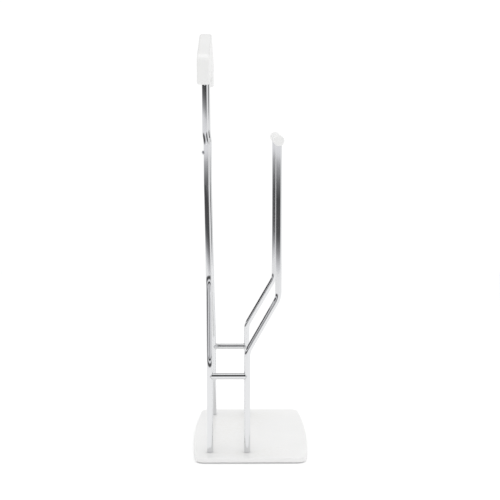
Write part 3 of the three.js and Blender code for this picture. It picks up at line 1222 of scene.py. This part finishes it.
@dataclass
class UpperFrame(SidePart):
    """One side's upper tube, plugged into the rear upright and locked by a screw."""

    seam: float = 793.0 * MM
    jog_low: float = 799.0 * MM
    jog_high: float = 822.0 * MM
    jog_radii: tuple[float, ...] = (120.0 * MM, 120.0 * MM)
    spigot_overlap: float = 4.0 * MM
    head_height: float = 4.4 * MM
    spigot: TubeStock = TubeStock(radius=6.5 * MM, wall=1.3 * MM, chamfer=0.8 * MM, sides=48, bend_steps=1)

    def build(self) -> None:
        """Makes the tube and its lock screw."""
        self.build_tube()
        self.build_lock_screw()

    def build_tube(self) -> None:
        """Makes the upper tube with the spigot at its lower end."""
        node = self.named("upper_tube")
        low, high = box(node)
        x = abs(middle(node).x)
        seam_y = box(self.named("rear_upright"))[1].y - self.stock.radius
        top_y = high.y - self.stock.radius
        corners = [
            self.at(x, seam_y, self.seam),
            self.at(x, seam_y, self.jog_low),
            self.at(x, top_y - MM, self.jog_high),
            self.at(x, top_y, high.z - self.board_top),
        ]
        tube = self.stock.bent(self.named("upper_tube_skin"), corners, self.jog_radii, TUBE_CHROME)
        heights = (low.z - self.board_top, self.seam + self.spigot_overlap)
        ends = [self.at(x, seam_y, height) for height in heights]
        spigot = self.spigot.bent(self.named("spigot_skin"), ends, [], TUBE_CHROME)
        fit(tube, TUBE_CHROME, [node])
        fit(spigot, TUBE_CHROME)

    def build_lock_screw(self) -> None:
        """Makes the button-headed lock screw in the back of the upright."""
        node = self.named("lock_screw")
        low, high = box(node)
        screw = ScrewPattern(
            head_radius=(high.x - low.x) / 2.0,
            head_height=self.head_height,
            shank_radius=2.5 * MM,
            shank_length=high.y - low.y - self.head_height,
            socket_radius=2.0 * MM,
            socket_depth=2.2 * MM,
            crown=3.0 * MM,
        )
        place = Vector((middle(node).x, high.y - self.head_height, middle(node).z))
        name = self.named("button_screw")
        fit(set_in_place(name, screw.build(), [place], BACK, ZINC_PLATE), ZINC_PLATE, [node])


@dataclass
class TrouserBar:
    """The round bar across the tops of the front uprights."""

    edge_round: float = 1.8 * MM
    bore_radius: float = 8.3 * MM
    bore_length: float = 40.0 * MM
    bore_gap: float = 0.3 * MM

    def build(self) -> None:
        """Makes the bar, with the blind bores that take the tube tops."""
        low, high = box("trouser_bar")
        start = middle("trouser_bar")
        start.x = low.x
        profile = rounded_profile((high.z - low.z) / 2.0, high.x - low.x, self.edge_round, steps=6)
        bar = new_object("white_trouser_bar", turned("bar", profile, start, ACROSS, sides=96))
        drilled(bar, [self.bore(side) for side in Side])
        fit(face_weighted(bar), BEECH_LACQUER, ["trouser_bar"])
        inserts = [f"{stem}_{side.word}" for stem in ("bar_insert", "bar_stud") for side in Side]
        dress_nodes(ZINC_PLATE, inserts)

    def bore(self, side: Side) -> Mesh:
        """Makes the space that one tube top takes up in the bar.

        Args:
            side: the side that the tube is on.

        Returns:
            The solid to take away.
        """
        insert = middle(f"bar_insert_{side.word}")
        top = box(f"front_upright_{side.word}")[1].z + self.bore_gap
        profile = rounded_profile(self.bore_radius, self.bore_length, 0.1 * MM)
        return turned("tube_bore", profile, Vector((insert.x, insert.y, top - self.bore_length)))


@dataclass
class CoatHanger:
    """The thick hanger board on top of the upper tubes."""

    edge_round: float = 6.0 * MM
    end_bottom: float = 956.0 * MM
    end_top: float = 1029.0 * MM
    middle_bottom: float = 999.0 * MM
    apex: float = 1097.0 * MM
    bore_radius: float = 8.6 * MM
    bore_length: float = 60.0 * MM
    bore_gap: float = 0.3 * MM
    head_height: float = 0.8 * MM

    def build(self) -> None:
        """Makes the hanger with its bores, and its screws."""
        low, high = box("hanger")
        half = high.x
        corners = [
            (0.0, self.middle_bottom, 90.0 * MM),
            (half, self.end_bottom, 10.0 * MM),
            (half, self.end_top, 20.0 * MM),
            (0.0, self.apex, 60.0 * MM),
            (-half, self.end_top, 20.0 * MM),
            (-half, self.end_bottom, 10.0 * MM),
        ]
        outline = rounded_outline(corners, steps=20)
        mesh = plate("hanger", outline, high.y - low.y, self.edge_round, steps=10)
        mesh.transform(Matrix.Translation(BACK * high.y) @ Matrix.Rotation(math.pi / 2.0, 4, "X"))
        drills = [tool for side in Side for tool in self.drills(side)]
        hanger = drilled(new_object("coat_hanger", mesh), drills)
        fit(face_weighted(hanger), BEECH_LACQUER, ["hanger"])
        self.build_screws()

    def drills(self, side: Side) -> list[Mesh]:
        """Makes the blind bore for one tube and the countersink for its screw.

        Args:
            side: the side that the tube is on.

        Returns:
            The solids to take away.
        """
        tube_node = f"upper_tube_{side.word}"
        bottom = box(tube_node)[1].z + self.bore_gap - self.bore_length
        tube = Vector((middle(tube_node).x, middle("hanger").y, bottom))
        screw = middle(f"hanger_screw_{side.word}")
        mouth = Vector((screw.x, box("hanger")[1].y + self.bore_gap, screw.z))
        steps = ((0.0, 0.0), (4.6, 0.0), (4.5, 2.2), (2.3, 4.2), (2.3, 25.0), (0.0, 25.0))
        seat = [(radius * MM, depth * MM) for radius, depth in steps]
        bore = rounded_profile(self.bore_radius, self.bore_length, 0.2 * MM)
        return [turned("tube_bore", bore, tube), turned("screw_seat", seat, mouth, -BACK)]

    def build_screws(self) -> None:
        """Makes the countersunk screws in the hanger's back."""
        names = [f"hanger_screw_{side.word}" for side in Side]
        low, high = box(names[0])
        screw = ScrewPattern(
            head_radius=(high.x - low.x) / 2.0,
            head_height=self.head_height,
            shank_radius=2.0 * MM,
            shank_length=high.y - low.y - self.head_height,
            socket_radius=1.6 * MM,
            socket_depth=1.4 * MM,
            crown=0.3 * MM,
            sunk=True,
        )
        face = high.y - self.head_height
        places = [Vector((middle(node).x, face, middle(node).z)) for node in names]
        fit(set_in_place("hanger_screws", screw.build(), places, BACK, ZINC_PLATE), ZINC_PLATE, names)


# Studio


@dataclass
class Studio:
    """A pale floor inside a round light tent, with the camera at the stand's side.

    The tent is what bright metal mirrors. It is white behind the stand. On the camera's side it has belts of
    light and dark, and dark strips of cloth hang in front of it.
    """

    camera_place: tuple[float, float, float] = (-2.896, 0.0201, 0.9088)
    pitch: float = 7.63
    yaw: float = 0.39
    lens: float = 77.94
    radius: float = 3.3
    tent_height: float = 9.0
    floor_albedo: float = 0.97
    floor_thickness: float = 20.0 * MM
    cloth_gap: float = 0.1
    cloth_grey: float = 0.03
    fill: float = 1.0
    dark: float = 0.06
    seen: float = 1.05
    belts: tuple[Span, ...] = (
        (0.00, 0.88),
        (0.045, 0.70),
        (0.09, 0.42),
        (0.15, 0.20),
        (0.21, 0.10),
        (0.40, 0.08),
        (0.495, 0.20),
        (0.55, 0.36),
        (0.595, 0.50),
        (0.63, 0.80),
        (0.66, 0.93),
        (0.82, 0.92),
        (0.85, 0.68),
        (0.885, 0.40),
        (0.916, 0.27),
        (0.948, 0.16),
        (1.016, 0.055),
        (1.13, 0.055),
        (1.19, 0.80),
        (3.00, 0.80),
    )
    belt_side: tuple[float, float, float, float] = (-125.0, -100.0, 56.0, 80.0)
    back_fade: Span = (1.7, 2.2)
    back_top: float = 0.3
    dark_cloths: tuple[tuple[str, Span, Span], ...] = (
        ("camera_slit", (-8.0, 8.0), (1.0, 5.5)),
        ("back_screen", (-125.0, -62.0), (1.0, 1.8)),
    )

    def build(self) -> None:
        """Sets the stage."""
        self.build_floor()
        self.build_tent()
        self.build_dark_cloths()
        self.build_world()
        self.build_lights()
        self.build_camera()
        bpy.context.scene.view_settings.view_transform = "Standard"

    def build_floor(self) -> None:
        """Makes the pale floor."""
        profile = rounded_profile(self.radius, self.floor_thickness, 5.0 * MM)
        floor = new_object("floor", turned("floor", profile, UP * -self.floor_thickness, sides=96))
        material = bpy.data.materials.new("pale_floor")
        material.use_nodes = True
        graph = Graph(material.node_tree)
        mottle = graph.remap(graph.noise(graph.where(), 3.0, 3.0), (0.3, 0.7), (0.55, 0.65))
        white = (*([self.floor_albedo] * 3), 1.0)
        inputs = {"Roughness": mottle, "Base Color": white, "Specular IOR Level": 0.0}
        graph.feed(principled(material), inputs)
        floor.data.materials.append(material)

    def hang_cloth(self, name: str, radius: float, arc: Span, levels: Span, steps: int = 96) -> Material:
        """Hangs a curved strip of glowing cloth that only shiny surfaces see.

        Args:
            name: the name of the strip.
            radius: how far from the stand it hangs.
            arc: where it starts and ends, in degrees from behind the camera towards the stand's front.
            levels: the heights of its lower and upper edges.
            steps: the number of flat pieces along it.

        Returns:
            The cloth's material, with a glow whose colour is still to be set.
        """
        points = []
        for height in levels:
            for i in range(steps + 1):
                angle = math.radians(arc[0] + (arc[1] - arc[0]) * i / steps)
                points.append((-radius * math.cos(angle), -radius * math.sin(angle), height))
        row = steps + 1
        faces = [[i, i + 1, row + i + 1, row + i] for i in range(steps)]
        mesh = bpy.data.meshes.new(name)
        mesh.from_pydata(points, [], faces)
        cloth = new_object(name, mesh)
        for ray in ("camera", "diffuse", "shadow", "transmission", "volume_scatter"):
            setattr(cloth, f"visible_{ray}", False)
        material = bpy.data.materials.new(name)
        material.use_nodes = True
        material.node_tree.nodes.clear()
        graph = Graph(material.node_tree)
        glow = graph.add("ShaderNodeEmission")
        graph.add("ShaderNodeOutputMaterial", {"Surface": glow.outputs["Emission"]})
        mesh.materials.append(material)
        return material

    def color_cloth(self, material: Material, color: Feed) -> None:
        """Sets the colour of a cloth's glow."""
        glow = next(node for node in material.node_tree.nodes if node.type == "EMISSION")
        Graph(material.node_tree).feed(glow, {"Color": color})

    def build_dark_cloths(self) -> None:
        """Hangs the dark strips inside the tent, behind the camera and at the stand's back."""
        for name, arc, levels in self.dark_cloths:
            cloth = self.hang_cloth(name, self.radius - self.cloth_gap, arc, levels)
            self.color_cloth(cloth, (*([self.cloth_grey] * 3), 1.0))

    def build_tent(self) -> None:
        """Makes the tent's wall, belted on the camera's side."""
        wall = self.hang_cloth("tent_wall", self.radius, (-180.0, 180.0), (0.0, self.tent_height))
        graph = Graph(wall.node_tree)
        place = graph.add("ShaderNodeSeparateXYZ", {"Vector": graph.where()}).outputs
        back = graph.remap(place["Z"], self.back_fade, (1.0, self.back_top))
        parts = {"A": back, "B": self.belt_ramp(graph, place["Z"]), "Factor": self.side_mask(graph, place)}
        self.color_cloth(wall, graph.add("ShaderNodeMix", parts, data_type="RGBA").outputs["Result"])

    def belt_ramp(self, graph: Graph, height: NodeSocket) -> NodeSocket:
        """Makes the belts on the tent's wall.

        Args:
            graph: the cloth's nodes.
            height: the height above the floor.

        Returns:
            The belts' colour.
        """
        top = self.belts[-1][0]
        ramp = graph.add("ShaderNodeValToRGB", {"Fac": graph.remap(height, (0.0, top))})
        stops = ramp.color_ramp.elements
        while len(stops) < len(self.belts):
            stops.new(0.5)
        for stop, (level, grey) in zip(stops, self.belts):
            stop.position = level / top
            stop.color = (grey, grey, grey * 1.02, 1.0)
        return ramp.outputs["Color"]

    def side_mask(self, graph: Graph, place: bpy.types.NodeOutputs) -> NodeSocket:
        """Makes the mask that is 1 on the tent's belted side.

        Args:
            graph: the cloth's nodes.
            place: the place on the wall, with its outputs X and Y.

        Returns:
            The mask.
        """
        flipped = [graph.calc("MULTIPLY", place[axis], -1.0) for axis in ("Y", "X")]
        turn = graph.calc("ARCTAN2", *flipped)
        opens, opened, closing, closed = (math.radians(angle) for angle in self.belt_side)
        rise = graph.remap(turn, (opens, opened))
        return graph.product(rise, graph.remap(turn, (closing, closed), (1.0, 0.0)))

    def build_world(self) -> None:
        """Makes the even fill around everything, white where it is seen and dark where metal mirrors it."""
        world = bpy.data.worlds.new("light_tent")
        bpy.context.scene.world = world
        world.use_nodes = True
        world.node_tree.nodes.clear()
        graph = Graph(world.node_tree)
        path = graph.add("ShaderNodeLightPath").outputs
        shader = self.background(graph, self.fill)
        for ray, strength in (("Is Glossy Ray", self.dark), ("Is Camera Ray", self.seen)):
            inputs = {"Fac": path[ray], 1: shader, 2: self.background(graph, strength)}
            shader = graph.add("ShaderNodeMixShader", inputs).outputs["Shader"]
        graph.add("ShaderNodeOutputWorld", {"Surface": shader})

    def background(self, graph: Graph, strength: float) -> NodeSocket:
        """Adds a white background of a strength and returns its shader."""
        inputs = {"Color": (1.0, 1.0, 1.0, 1.0), "Strength": strength}
        return graph.add("ShaderNodeBackground", inputs).outputs["Background"]

    def build_lights(self) -> None:
        """Hangs the soft boxes."""
        boxes = (
            ("overhead_box", (0.0, 0.0, 3.4), (0.0, 0.0, 0.4), 2.4, 18.0),
            ("front_box", (-1.2, -2.8, 2.4), (0.0, 0.0, 0.7), 1.2, 4.0),
        )
        for name, place, target, size, power in boxes:
            data = bpy.data.lights.new(name, "AREA")
            data.shape = "SQUARE"
            data.size = size
            data.energy = power
            light = bpy.data.objects.new(name, data)
            bpy.context.scene.collection.objects.link(light)
            light.location = place
            aim = Vector(target) - Vector(place)
            light.rotation_euler = aim.to_track_quat("-Z", "Y").to_euler()

    def build_camera(self) -> None:
        """Sets the camera at the stand's left side, looking across it and slightly down."""
        data = bpy.data.cameras.new("side_camera")
        data.lens = self.lens
        camera = bpy.data.objects.new("side_camera", data)
        bpy.context.scene.collection.objects.link(camera)
        camera.location = self.camera_place
        pitch, yaw = math.radians(self.pitch), math.radians(self.yaw)
        gaze = Vector((math.cos(pitch) * math.cos(yaw), -math.cos(pitch) * math.sin(yaw), -math.sin(pitch)))
        camera.rotation_euler = gaze.to_track_quat("-Z", "Y").to_euler()
        bpy.context.scene.camera = camera


def main() -> None:
    """Builds the stage and every sub-assembly in order."""
    logging.basicConfig(level=logging.INFO, format="%(name)s: %(message)s")
    Studio().build()
    Board().build()
    for side in Side:
        SideFrame(side).build()
        UpperFrame(side).build()
    TrouserBar().build()
    CoatHanger().build()


if __name__ == "__main__":
    main()
